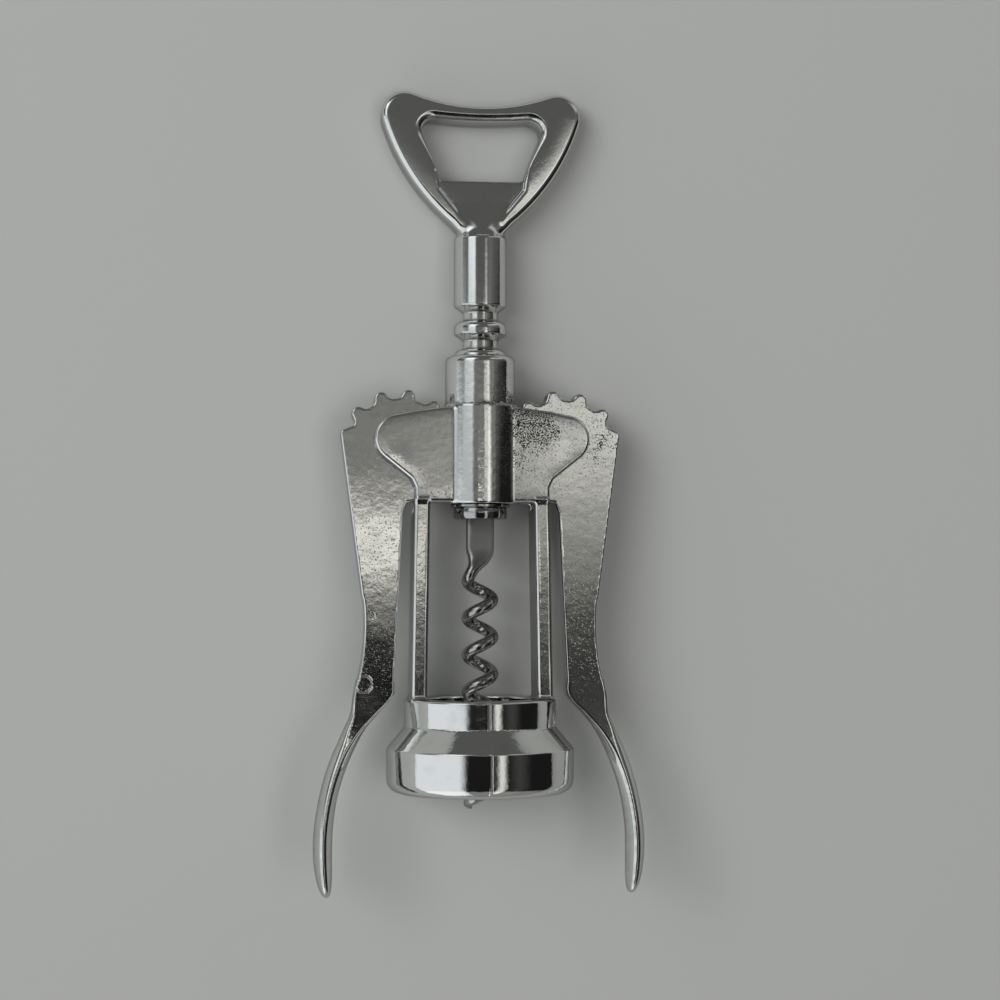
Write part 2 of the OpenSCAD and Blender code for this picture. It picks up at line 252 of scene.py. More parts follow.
bellOutline = outline([beyond, 0],
                      arc(bell["r"] - bell["lip"], bell["lip"], bell["lip"], -90, 0),
                      [bell["r"], bell["bandTop"]], [bell["collarR"], bell["coneTop"]],
                      [bell["collarR"], bell["collarTop"]], [beyond, bell["collarTop"]])
cavityOutline = outline([beyond, -4], [bell["flareR"] + 0.4, -4], [bell["flareR"], 0],
                        [bell["mouthR"], bell["mouthDepth"]],
                        [bell["socketR"], bell["socketFrom"]],
                        [bell["socketR"], bell["socketDepth"]],
                        [bell["passageR"], bell["socketDepth"]],
                        [bell["passageR"], bell["passageTop"]], [beyond, bell["passageTop"]])
barrelOutline = outline([beyond, barrel["bottom"]], [barrel["r"], barrel["bottom"]],
                        [barrel["r"], barrel["sleeveBottom"]],
                        [barrel["sleeveR"], barrel["sleeveBottom"]],
                        arc(barrel["sleeveR"] - barrel["topRound"],
                            barrel["top"] - barrel["topRound"], barrel["topRound"], 0, 90),
                        [beyond, barrel["top"]])
wingOutline = outline(wings["foot"],
                      arc(*wings["tip"], wings["tipR"], wings["tipFrom"], wings["tipTo"], 16),
                      wings["crest"])


def railShape(ax, y, az):
    # a bar with rounded edges, whose middle moves outwards in proportion to the height
    slant = (rails["outTop"] - rails["outBottom"]) / rails["rise"]
    middle = rails["outBottom"] - rails["width"] / 2 + (y - bell["collarTop"]) * slant
    bar = roundedEdge(np.abs(ax - middle) - rails["width"] / 2, az - rails["depth"] / 2,
                      rails["edge"])
    return np.maximum(bar, np.maximum(rails["bottom"] - y, y - rails["top"]))


def frameField(x, y, z):
    # the bell without its cavity, joined to the rails, then to the barrel and the plates,
    # less the bore, the slots round both gears and the pins' holes, which end in the front
    # plate; the seam and the stub stand out by bell curves
    ax, az = np.abs(x), np.abs(z)
    solid = turnedShape(x, y, z, bellOutline, bell["edge"])
    solid = softMax(solid, -turnedShape(x, y, z, cavityOutline, 0.01), bell["cut"])
    solid = softMin(solid, railShape(ax, y, az), rails["fillet"])
    body = turnedShape(x, y, z, barrelOutline, barrel["edge"])
    plates = plateShape(flatDistance(ax, y, wingOutline), z, wings["half"], wings["edge"],
                        wings["crown"], wings["crownReach"])
    solid = softMin(solid, softMin(body, plates, wings["fillet"]), wings["railFillet"])
    radius = np.sqrt(x * x + z * z)
    bore = np.maximum(radius - barrel["boreR"], barrel["boreFrom"] - y)
    solid = softMax(solid, -bore, barrel["boreEdge"])
    fromPivot = np.sqrt((ax - gears["pivotX"]) ** 2 + (y - gears["pivotY"]) ** 2)
    slot = np.maximum(fromPivot - gears["tipR"] - gears["room"], az - wings["slotHalf"])
    solid = softMax(solid, -slot, wings["slotEdge"])
    pinHole = np.maximum(fromPivot - gears["pinR"] - gears["pinRoom"], z - gears["pinTop"])
    solid = np.maximum(solid, -pinHole)
    front = (z > 0) & (y < castMarks["seamTop"])
    seam = np.where(front, castMarks["seam"] * np.exp(-(x / castMarks["seamWidth"]) ** 2), 0)
    sx, sy, sz = castMarks["stubAt"]
    away = (x - sx) ** 2 + (y - sy) ** 2 * castMarks["stubLength"] + (z - sz) ** 2
    return solid - seam - castMarks["stub"] * np.exp(-away / castMarks["stubSpread"])


def frameSatin(x, y, z):
    # the plates and rails were left duller than the turned faces
    plates = fade(np.abs(x), 6, 6.4) * fade(y, 63.5, 64.5) * fade(np.abs(z), 5.4, 6.0)
    railFaces = fade(y, 20.9, 22) * (1 - fade(y, 62, 64)) * 0.6
    return np.maximum(plates, railFaces)


castFrame = sculpt("frameCasting", frameField, frameSatin, frameRoom,
                   "frame", "frame")

# Handle casting: the opener's head, a round stem and the ringed rack below it
print("handle casting")
rack = {"pitch": 6.285, "corner": 70.565, "rings": 6, "rodR": 5.92, "neckR": 3.9,
        "straight": 1.3, "shoulder": 1.6, "neckGap": 0.12, "chamfer": 1.44, "edge": 0.2,
        "end": 63.9, "spigotR": 4, "spigotEnd": 60.6, "slot": (3.12, 1.32), "slotTop": 74}
head = {"half": 4.2, "edge": 1.35, "crown": 0.4, "crownReach": 7, "stemTop": 123.4,
        "stemTaper": ((4.8, 2.2), (3.2, 6)), "neckFillet": (0.3, 2.4), "neckFade": (121.5, 131),
        "openingEdge": (0.15, 1.9), "openingFade": (138.5, 149), "panelDepth": 0.4,
        "panelRise": 2.2, "panelFade": (123.4, 131.5), "panelEdge": 1.3, "panelSide": 0.3,
        "satin": 0.25}
handleRoom = {"low": (-22.8, 60, -6.4), "high": (22.8, 156.6, 6.4), "cell": 0.3}


def rackOutline():
    # one ring after the other, a pitch apart: a chamfer up from the neck, a straight rim, a
    # quarter circle back to the neck; the spigot is below them, the tapered stem above
    corners = rack["corner"] + rack["pitch"] * np.arange(-1, rack["rings"])
    shoulderR = rack["rodR"] - rack["shoulder"]
    parts = [[beyond, rack["spigotEnd"]], [rack["spigotR"], rack["spigotEnd"]],
             [rack["spigotR"], rack["end"]], [rack["rodR"], rack["end"]]]
    for k, corner in enumerate(corners):
        if k:  # the lowest ring starts at the rack's end, without a chamfer
            parts += [[rack["neckR"], corner - rack["chamfer"]], [rack["rodR"], corner]]
        top = corner + rack["straight"]
        parts += [arc(shoulderR, top, rack["shoulder"], 0, 90),
                  [rack["neckR"], top + rack["shoulder"] + rack["neckGap"]]]
    stem = corners[-1] + rack["pitch"]
    parts += [[rack["neckR"], stem - rack["chamfer"]], [rack["rodR"], stem],
              [rack["rodR"], head["stemTop"]]]
    parts += [[r, head["stemTop"] + up] for r, up in head["stemTaper"]]
    return outline(*parts, [beyond, head["stemTop"] + head["stemTaper"][-1][1]])


rodOutline = rackOutline()
# the right half of the head, of its opening and of its panel
headOutline = outline([-3, 121.5], [4.1, 121.5], [4.1, 124.1], [5.7, 125.4],
                      arc(-23.6, 163.8, 48, -50.5, -17.5, 12),
                      arc(17.2, 150.9, 5.2, -17.5, 110.4, 14),
                      arc(0, 197.06, 44.06, -69.6, -94, 7), [-3, 140])
openingOutline = outline([-3, 136.2], arc(8.2, 137.9, 1.7, -90, -21, 6),
                         arc(10.6, 147.3, 2.8, -21, 95.5, 12),
                         arc(0, 259.4, 109.8, -84.5, -92, 4))
panelOutline = outline([-2, 124], [1.2, 124.6], [9.1, 134.4], [9.6, 138], [-2, 138])


def handleField(x, y, z):
    # the turned rod joined to the head's plate, with a fillet that widens upwards, less the
    # opening, whose rounding grows upwards, less the sunk panel, which rises to the stem in
    # a ramp, and less the slot for the worm's tang
    ax = np.abs(x)
    rod = turnedShape(x, y, z, rodOutline, rack["edge"])
    plate = plateShape(flatDistance(ax, y, headOutline), z, head["half"], head["edge"],
                       head["crown"], head["crownReach"])
    least, more = head["neckFillet"]
    solid = softMin(rod, plate, least + more * fade(y, *head["neckFade"]))
    least, more = head["openingEdge"]
    rounding = least + more * fade(y, *head["openingFade"])
    solid = softMax(solid, -flatDistance(ax, y, openingOutline), rounding)
    ramp = head["panelRise"] * (1 - fade(y, *head["panelFade"]))
    level = head["half"] - head["panelDepth"] + ramp
    panel = softMax(flatDistance(ax, y, panelOutline), level - np.abs(z), head["panelSide"])
    solid = softMax(solid, -panel, head["panelEdge"])
    wide, thick = rack["slot"]
    tang = np.maximum(np.maximum(ax - wide, np.abs(z) - thick), y - rack["slotTop"])
    return np.maximum(solid, -tang)


def handleSatin(x, y, z):
    # the head a little duller than the turned stem
    return head["satin"] * fade(y, 127, 131)


castHandle = sculpt("handleCasting", handleField, handleSatin, handleRoom,
                    "handle", "handle")

# Levers, drawn for the right side about their pivot: gear, flat arm and curved grip
print("levers")
lever = {"half": 2.8, "edge": 0.45, "armEnd": -52.6, "boreR": 2.06, "gripFrom": -50.5,
         "gripEnd": -98.45, "gripEdge": 0.5, "joinEdge": 0.2, "endEdge": 0.8,
         "gripEase": 0.8}  # the grip leans, so its plain distance is taken a little short
tooth = {"rootRound": 1.3, "halfWidth": 1.5, "tipRound": 1.43, "tipHalf": 0.02}
# the rings that the push-out pins left: place, radius, and the wire that cuts them
pushOut = {"rings": ((6.1, -36.2, 0.55), (7.9, -51.3, 1.9)), "wire": 0.16, "lift": 0.03,
           "edge": 0.08}
leverRoom = {"low": (4, -23.4, -4.2), "high": (37.4, 89.8, 4.2), "cell": 0.3}
# x, y, slant, half thickness in the middle and at the edges, half width
gripStations = np.array([
    [5.2, -49.5, -5, 4.05, 3.85, 2.8], [5.6, -53.9, -9, 4.45, 4.35, 2.8],
    [7.7, -58.2, -2, 3.05, 2.6, 2.8], [9.6, -61.2, 8, 2.45, 1.7, 2.82],
    [11.15, -64.2, 17, 2.15, 1, 2.9], [12.7, -67.6, 21, 2.05, 0.6, 3.05],
    [14.4, -72.3, 19, 2, 0.47, 3.3], [15.7, -77.5, 13, 2, 0.45, 3.6],
    [16.55, -83.5, 5, 2.1, 0.45, 3.9], [16.7, -89, -2, 2.1, 0.45, 4],
    [16.45, -93.6, -7, 1.85, 0.42, 3.7], [16.1, -96.7, -10, 1.3, 0.38, 2.8],
    [15.85, -98.4, -10, 0.6, 0.25, 1.3]])


def smoothStations(table, steps=12):
    # a cubic through every station, worked out from the four stations nearest to it
    t = np.linspace(0, len(table) - 1.001, (len(table) - 1) * steps)
    i = t.astype(int)
    f = (t - i)[:, None]
    a, b = table[np.maximum(i - 1, 0)], table[i]
    c, d = table[i + 1], table[np.minimum(i + 2, len(table) - 1)]
    square, cube = 2 * a - 5 * b + 4 * c - d, 3 * b - a - 3 * c + d
    return 0.5 * (2 * b + (c - a) * f + square * f ** 2 + cube * f ** 3)


gripCurve = smoothStations(gripStations)[::-1]


def toothOutline():
    # flank, rounded tip and flank of one tooth standing along +X
    r, w = tooth["rootRound"], tooth["halfWidth"]
    tip, e = tooth["tipRound"], tooth["tipHalf"]
    inner, outer = gears["rootR"] + r, gears["tipR"] - tip
    return outline(arc(inner, w + r, r, 180, 270, 5), arc(outer, e, tip, 85, 0, 6),
                   arc(outer, -e, tip, 0, -85, 6), arc(inner, -w - r, r, 90, 180, 5))


def leverOutline():
    # the gear's root circle, its teeth turned a step apart, then down the arm's outer side
    # and back up its inner side
    parts = [arc(0, 0, gears["rootR"], 262, 200, 10)]
    for k in range(gears["teeth"]):
        a = math.radians(180 - gears["firstTooth"] - k * gears["step"])
        turn = np.array([[math.cos(a), math.sin(a)], [-math.sin(a), math.cos(a)]])
        parts.append(toothOutline() @ turn)
    parts += [arc(12.1, 3.9, 1, 78, 0, 5), [8.3, -32], arc(60.3, -38.3, 52.6, 174.5, 195, 10),
              [9.55, lever["armEnd"]], [1.15, lever["armEnd"]], [-0.8, -13.5]]
    return outline(*parts)[::-1]


armOutline = leverOutline()


def leverField(x, y, z):
    # a flat arm, and a grip whose middle, slant, thickness and width follow the stations.
    # Its thickness falls with the square of the way out to its edge. The pivot is bored out
    places = gripCurve[:, 1]
    middleX, slant, middle, rim, wide = [np.interp(y, places, gripCurve[:, k])
                                         for k in (0, 2, 3, 4, 5)]
    across = np.clip(np.abs(z) / np.maximum(wide, 0.1), 0, 1)
    thick = rim + (middle - rim) * (1 - across ** 2)
    sides = (np.abs(x - middleX) * np.cos(np.radians(slant)) - thick) * lever["gripEase"]
    grip = softMax(sides, np.abs(z) - wide, lever["gripEdge"])
    grip = softMax(grip, y - lever["gripFrom"], lever["joinEdge"])
    grip = softMax(grip, lever["gripEnd"] - y, lever["endEdge"])
    arm = plateShape(flatDistance(x, y, armOutline), z, lever["half"], lever["edge"])
    return np.maximum(np.minimum(arm, grip), lever["boreR"] - np.sqrt(x * x + y * y))


def markedLever(x, y, z):
    # the same lever with two rings that its mould's push-out pins left on the front, each
    # cut by a wire bent to a circle
    solid = leverField(x, y, z)
    for cx, cy, r in pushOut["rings"]:
        ring = np.abs(np.sqrt((x - cx) ** 2 + (y - cy) ** 2) - r)
        wire = np.sqrt(ring ** 2 + (z - lever["half"] - pushOut["lift"]) ** 2)
        solid = softMax(solid, pushOut["wire"] - wire, pushOut["edge"])
    return solid


def leverSatin(x, y, z):
    # dull on the flat arm, brighter down the grip
    return 1 - 0.75 * fade(-y, 44, 58)


def onPivot(field):
    # a field drawn about the pivot, read at a point less the pivot's place
    return lambda x, y, z: field(x - gears["pivotX"], y - gears["pivotY"], z)


rightLever = sculpt("rightLeverCasting", onPivot(leverField), onPivot(leverSatin), leverRoom,
                    "right_lever", "right_lever")
leftLever = sculpt("leftLeverCasting", onPivot(markedLever), onPivot(leverSatin), leverRoom,
                   "left_lever", "left_lever", flip=True)

# Worm: a flat tang that turns into a round wire and winds down to its point
print("worm, washer, collar and pins")
worm = {"wireR": 1.35, "helixR": 2.78, "pitch": 8.24, "frontCross": 40.8, "tip": -3.6,
        "tangTop": 73.9, "tangBottom": 54.5, "tangOverlap": 0.4, "tangHalf": (3.1, 1.3),
        "tangCorner": 7, "topTurn": 270, "lead": 3.5, "ease": 3.4, "bendSteps": 40,
        "bendShape": (-0.1, 1.7), "turnSteps": 64, "pointSize": 0.3, "pointSteps": 24,
        "sides": 32}


def helix(a):
    # a point going round the axis by the angle a, and up by the pitch for each turn
    height = worm["frontCross"] + worm["pitch"] * a / (2 * np.pi)
    return np.stack([worm["helixR"] * np.sin(a), height, worm["helixR"] * np.cos(a)], 1)


def wormRings():
    # a section carried along a path: straight down the tang, over to the coil on a cubic
    # that leaves and arrives in line, and down the coil. The section goes from a bar's with
    # soft corners to a circle's, and shrinks to the point
    top = math.radians(worm["topTurn"])
    start = helix(np.array([top]))[0]
    way = np.array([0, worm["pitch"], 2 * np.pi * worm["helixR"]])
    way /= np.linalg.norm(way)
    t = np.linspace(0, 1, worm["bendSteps"], endpoint=False)[:, None]
    p0 = np.array([0, worm["tangBottom"], 0])
    p1, p2 = p0 - [0, worm["lead"], 0], start + worm["ease"] * way
    bend = ((1 - t) ** 3 * p0 + 3 * t * (1 - t) ** 2 * p1
            + 3 * t * t * (1 - t) * p2 + t ** 3 * start)
    turns = (start[1] - worm["tip"]) / worm["pitch"]
    coil = helix(top - np.linspace(0, turns * 2 * np.pi, int(turns * worm["turnSteps"])))
    straight = np.array([[0, worm["tangTop"], 0],
                         [0, worm["tangBottom"] + worm["tangOverlap"], 0]])
    path = np.concatenate([straight, bend, coil])
    along = np.gradient(path, axis=0)
    along /= np.linalg.norm(along, axis=1)[:, None]
    side = np.tile([-1.0, 0, 0], (len(path), 1))
    side[-len(coil):] = coil * [1, 0, 1] / worm["helixR"]
    side -= (side * along).sum(1)[:, None] * along
    side /= np.linalg.norm(side, axis=1)[:, None]
    across = np.cross(along, side)
    turning = np.clip(np.linspace(*worm["bendShape"], worm["bendSteps"], endpoint=False), 0, 1)
    s = np.concatenate([np.zeros(len(straight)), turning, np.ones(len(coil))])
    soft = s * s * (3 - 2 * s)
    fromTip = np.arange(len(coil))[::-1] / worm["pointSteps"]
    size = np.concatenate([np.ones(len(path) - len(coil)),
                           np.clip(worm["pointSize"] + fromTip, 0, 1)])[:, None]
    halfWide, halfThick = [(flat * (1 - soft) + worm["wireR"] * soft)[:, None] * size
                           for flat in worm["tangHalf"]]
    a = 2 * np.pi * (np.arange(worm["sides"]) + 0.5) / worm["sides"]
    c, d = np.cos(a), np.sin(a)
    corner = worm["tangCorner"]
    power = (np.abs(c) ** corner + np.abs(d) ** corner) ** (1 / corner)
    bar = (1 - s)[:, None]
    u, v = c * (1 - bar) + bar * c / power, d * (1 - bar) + bar * d / power
    rings = (path[:, None] + side[:, None] * (halfWide * u)[..., None]
             + across[:, None] * (halfThick * v)[..., None])
    return rings, 1 - soft


rings, flatPart = wormRings()
wormPiece = gridSurface("wormWire", rings, "handle", "worm")
mark(wormPiece, "satin", np.repeat(flatPart, worm["sides"]))

# Washer, collar and pins, each turned from radius and height of the points of its section
washer = {"section": [[4.06, 63.3], [6.5, 63.26], [6.64, 63.36], [6.64, 63.8], [6.5, 63.89],
                      [4.06, 63.87]]}
collar = {"section": [[4.0, 60.62], [5.5, 60.6], [5.85, 60.72], [6, 61.0], [6, 62.95],
                      [5.9, 63.18], [4.0, 63.19]]}
pin = {"section": [[0.05, -6.2], [1.75, -6.2], [2, -5.95], [2, 4.8], [1.8, 5], [0.05, 5]],
       "sides": 48}
creaseAngle = 40  # degrees, past which an edge of these pieces is drawn sharp
washerPiece = gridSurface("stopWasherRing", turnedRings(washer["section"]),
                          "stop_ring", "stop_washer", hollow=True)
collarPiece = gridSurface("endCollarSleeve", turnedRings(collar["section"]),
                          "handle", "end_collar", hollow=True)
pinPieces = []
for name, side in (("left", -1), ("right", 1)):
    place = side * gears["pivotX"], gears["pivotY"]
    shaft = turnedRings(pin["section"], place, pin["sides"], alongZ=True)
    pinPieces.append(gridSurface(name + "PinShaft", shaft,
                                 "frame", name + "_pivot_pin"))
for piece in (washerPiece, collarPiece, *pinPieces):
    piece.modifiers.new("edges", "EDGE_SPLIT").split_angle = math.radians(creaseAngle)

# Materials
print("materials")


def node(tree, kind, x=0, y=0, **values):
    # a new node at x, y, with its settings
    made = tree.nodes.new(kind)
    made.location = (x, y)
    for key, value in values.items():
        setattr(made, key, value)
    return made


def newGroup(name, inputs, outputs):
    # a node group with its named sockets, and its input and output nodes
    group = bpy.data.node_groups.new(name, "ShaderNodeTree")
    for label, kind, value in inputs:
        socket = group.interface.new_socket(label, in_out="INPUT", socket_type=kind)
        if value is not None:
            socket.default_value = value
    for label, kind in outputs:
        group.interface.new_socket(label, in_out="OUTPUT", socket_type=kind)
    return group, node(group, "NodeGroupInput", -900), node(group, "NodeGroupOutput", 700)


def groupTools(group, inputs):
    # short ways to add a value, a noise and an eased range inside one group
    link = group.links.new

    def maths(operation, a, b=0.0):
        made = node(group, "ShaderNodeMath", 0, 0, operation=operation)
        for socket, value in zip(made.inputs, (a, b)):
            if isinstance(value, (int, float)):
                socket.default_value = value
            else:
                link(value, socket)
        return made.outputs[0]

    def noise(scale, detail, low=None, high=None, position=None):
        # plain noise, or noise eased so that it is 0 up to low and 1 from high
        made = node(group, "ShaderNodeTexNoise", -600, 0)
        made.inputs["Scale"].default_value = scale
        made.inputs["Detail"].default_value = detail
        link(position or inputs.outputs["Position"], made.inputs["Vector"])
        return made.outputs["Fac"] if low is None else eased(made.outputs["Fac"], low, high)

    def eased(value, low, high):
        made = node(group, "ShaderNodeMapRange", -300, 0, interpolation_type="SMOOTHSTEP")
        link(value, made.inputs["Value"])
        for label, edge in (("From Min", low), ("From Max", high)):
            if isinstance(edge, (int, float)):
                made.inputs[label].default_value = edge
            else:
                link(edge, made.inputs[label])
        return made.outputs["Result"]

    return link, maths, noise, eased


# each mark that handling leaves, and the grime that also stands for painted shade in the corners:
# noise scale and detail, and from where to where it shows.
# Below them, what the marks do to the surface's height, roughness and tone
handlingLook = {
    "scratch": (140, 3, 0.66, 0.72), "scratchTurn": (0.3, 0.2, 0.7), "scratchStretch": (1, 70, 70),
    "swell": (190, 2), "peel": (700, 2), "finePeel": (2400, 2), "sand": (2300, 2, 0.6, 0.74),
    "coarseSand": (1500, 1), "haze": (85, 6, 0.42, 0.72), "grimeAndShade": (500, 4, 0.3, 0.6),
    "stain": (330, 5, 0.5, 0.8),
    "peelHeight": 0.4, "finePeelHeight": 0.06, "peelOnTurned": 2.1, "peelLostOnSatin": 1.1,
    "coarseSandHeight": 0.15, "grimeRough": 0.3, "sharpSmooth": 0.06, "leastRough": 0.03,
    "grimeAndShadeTone": 0.75, "hazeTone": 0.6, "stainTone": 0.12}


def handlingGroup():
    # worn plating: the casting's soft waves, a sandy grain where it is dull, thin scratches,
    # hazy patches, and grime in the corners, which also darkens them as painted shade
    number = "NodeSocketFloat"
    group, inputs, outputs = newGroup("castHandling", [
        ("Position", "NodeSocketVector", None), ("Wave", number, 0.3), ("Grain", number, 0.5),
        ("Scratch", number, 0.1), ("Smooth", number, 0.08), ("Dull", number, 0.2),
        ("Haze", number, 0.15), ("Satin", number, 0), ("Crevice", number, 0),
        ("Sharp", number, 0)], [("Height", number), ("Roughness", number), ("Tone", number)])
    link, maths, noise, eased = groupTools(group, inputs)
    value = {socket.name: socket for socket in inputs.outputs}
    look = handlingLook
    stretch = node(group, "ShaderNodeMapping", -760, -100)
    stretch.inputs["Rotation"].default_value = look["scratchTurn"]
    stretch.inputs["Scale"].default_value = look["scratchStretch"]
    link(value["Position"], stretch.inputs["Vector"])
    lines = noise(*look["scratch"], stretch.outputs["Vector"])
    cut = maths("MULTIPLY", lines, value["Scratch"])
    peel = maths("ADD", maths("MULTIPLY", noise(*look["peel"]), look["peelHeight"]),
                 maths("MULTIPLY", noise(*look["finePeel"]), look["finePeelHeight"]))
    lost = maths("MULTIPLY", value["Satin"], look["peelLostOnSatin"])
    peel = maths("MULTIPLY", peel, maths("SUBTRACT", look["peelOnTurned"], lost))
    swell = maths("MULTIPLY", maths("ADD", noise(*look["swell"]), peel), value["Wave"])
    dimples = maths("ADD", noise(*look["sand"]),
                    maths("MULTIPLY", noise(*look["coarseSand"]), look["coarseSandHeight"]))
    sand = maths("MULTIPLY", maths("MULTIPLY", dimples, value["Grain"]), value["Satin"])
    link(maths("SUBTRACT", maths("ADD", swell, sand), cut), outputs.inputs["Height"])
    patches = maths("MULTIPLY", noise(*look["haze"]), value["Haze"])
    grimeAndShade = maths("MULTIPLY", noise(*look["grimeAndShade"]), value["Crevice"])
    dull = maths("MULTIPLY", value["Dull"], value["Satin"])
    rough = maths("ADD", maths("ADD", value["Smooth"], patches), dull)
    rough = maths("ADD", rough, maths("MULTIPLY", grimeAndShade, look["grimeRough"]))
    rough = maths("SUBTRACT", rough, maths("MULTIPLY", value["Sharp"], look["sharpSmooth"]))
    link(maths("MAXIMUM", rough, look["leastRough"]), outputs.inputs["Roughness"])
    stain = maths("MULTIPLY", noise(*look["stain"]), look["stainTone"])
    # the grime in the crevices darkens the colour: partly dirt, partly painted shade where the
    # corners would lie in shadow
    lost = maths("ADD", maths("MULTIPLY", grimeAndShade, look["grimeAndShadeTone"]),
                 maths("ADD", maths("MULTIPLY", patches, look["hazeTone"]), stain))
    link(maths("SUBTRACT", 1.0, lost), outputs.inputs["Tone"])
    return group


# noise of the patches and of the dots, a patch's share of the pits, the noise above which
# there is a pit and how far it can fall, and the colour and roughness at a pit's bottom
pitLook = {"patch": (420, 3, 0.3, 0.7), "dot": (3500, 2), "inPatch": 0.45, "anywhere": 0.55,
           "threshold": 0.85, "most": 0.35, "soft": 0.04, "colour": (0.035, 0.032, 0.028),
           "rough": 0.5}


def pittingGroup():
    # small dark pits where the plating has gone, thick near a centre and thinning outwards
    group, inputs, outputs = newGroup("platingPits", [
        ("Position", "NodeSocketVector", None), ("Centre", "NodeSocketVector", (0, 0, 0)),
        ("Reach", "NodeSocketFloat", 0.01), ("Amount", "NodeSocketFloat", 0.3)],
        [("Pits", "NodeSocketFloat")])
    link, maths, noise, eased = groupTools(group, inputs)
    away = node(group, "ShaderNodeVectorMath", -600, 200, operation="DISTANCE")
    link(inputs.outputs["Position"], away.inputs[0])
    link(inputs.outputs["Centre"], away.inputs[1])
    near = eased(maths("DIVIDE", away.outputs["Value"], inputs.outputs["Reach"]), 1.0, 0.0)
    patches = maths("MULTIPLY", noise(*pitLook["patch"]), pitLook["inPatch"])
    cluster = maths("MULTIPLY", maths("ADD", patches, pitLook["anywhere"]), near)
    fall = maths("MINIMUM", maths("MULTIPLY", cluster, inputs.outputs["Amount"]), pitLook["most"])
    edge = maths("SUBTRACT", pitLook["threshold"], fall)
    dots = eased(noise(*pitLook["dot"]), edge, maths("ADD", edge, pitLook["soft"]))
    link(dots, outputs.inputs["Pits"])
    return group


handling, pitting = handlingGroup(), pittingGroup()


def castMaterial(name, look):
    # metal under the handling group, then each centre of pits darkens, roughens and sinks it
    material = bpy.data.materials.new(name)
    material.use_nodes = True
    tree = material.node_tree
    link = tree.links.new
    shader = tree.nodes["Principled BSDF"]
    shader.inputs["Metallic"].default_value = 1
    # the chrome's reflection darkens towards its outline: painted shade, standing for the shadowed
    # table reflected there
    shader.inputs["Specular Tint"].default_value = (0.55, 0.55, 0.55, 1)
    where = node(tree, "ShaderNodeTexCoord", -1100)
    worn = node(tree, "ShaderNodeGroup", -700, 0, node_tree=handling)
    link(where.outputs["Object"], worn.inputs["Position"])
    for label in ("Satin", "Crevice", "Sharp"):
        marked = node(tree, "ShaderNodeAttribute", -1100, -200, attribute_name=label.lower())
        link(marked.outputs["Fac"], worn.inputs[label])
    for key in ("Wave", "Grain", "Scratch", "Smooth", "Dull", "Haze"):
        worn.inputs[key].default_value = look[key]
    mix = node(tree, "ShaderNodeMix", -300, 200, data_type="RGBA")
    mix.inputs["A"].default_value = (*look["dull"], 1)
    mix.inputs["B"].default_value = (*look["bright"], 1)
    link(worn.outputs["Tone"], mix.inputs["Factor"])
    colour, rough = mix.outputs["Result"], worn.outputs["Roughness"]
    height = worn.outputs["Height"]
    for k, (centre, reach, amount) in enumerate(look.get("pits", ())):
        pit = node(tree, "ShaderNodeGroup", -700, -300 - 220 * k, node_tree=pitting)
        link(where.outputs["Object"], pit.inputs["Position"])
        pit.inputs["Centre"].default_value = laidPoint(*centre)
        pit.inputs["Reach"].default_value = reach
        pit.inputs["Amount"].default_value = amount
        dark = node(tree, "ShaderNodeMix", -60 + 60 * k, 100, data_type="RGBA")
        dark.inputs["B"].default_value = (*pitLook["colour"], 1)
        link(pit.outputs["Pits"], dark.inputs["Factor"])
        link(colour, dark.inputs["A"])
        depth = node(tree, "ShaderNodeMath", -200, -200 - 100 * k, operation="MULTIPLY")
        depth.inputs[1].default_value = pitLook["rough"]
        link(pit.outputs["Pits"], depth.inputs[0])
        rougher = node(tree, "ShaderNodeMath", -60 + 60 * k, -200, operation="MAXIMUM")
        sunk = node(tree, "ShaderNodeMath", -200, -600 - 100 * k, operation="SUBTRACT")
        for before, change in ((rough, rougher), (height, sunk)):
            link(before, change.inputs[0])
            link(depth.outputs[0], change.inputs[1])
        colour, rough, height = dark.outputs["Result"], rougher.outputs[0], sunk.outputs[0]
    bump = node(tree, "ShaderNodeBump", -60, -500)
    bump.inputs["Strength"].default_value = look["bump"]
    bump.inputs["Distance"].default_value = 0.0002  # metres
    link(height, bump.inputs["Height"])
    link(colour, shader.inputs["Base Color"])
    link(rough, shader.inputs["Roughness"])
    link(bump.outputs["Normal"], shader.inputs["Normal"])
    return material


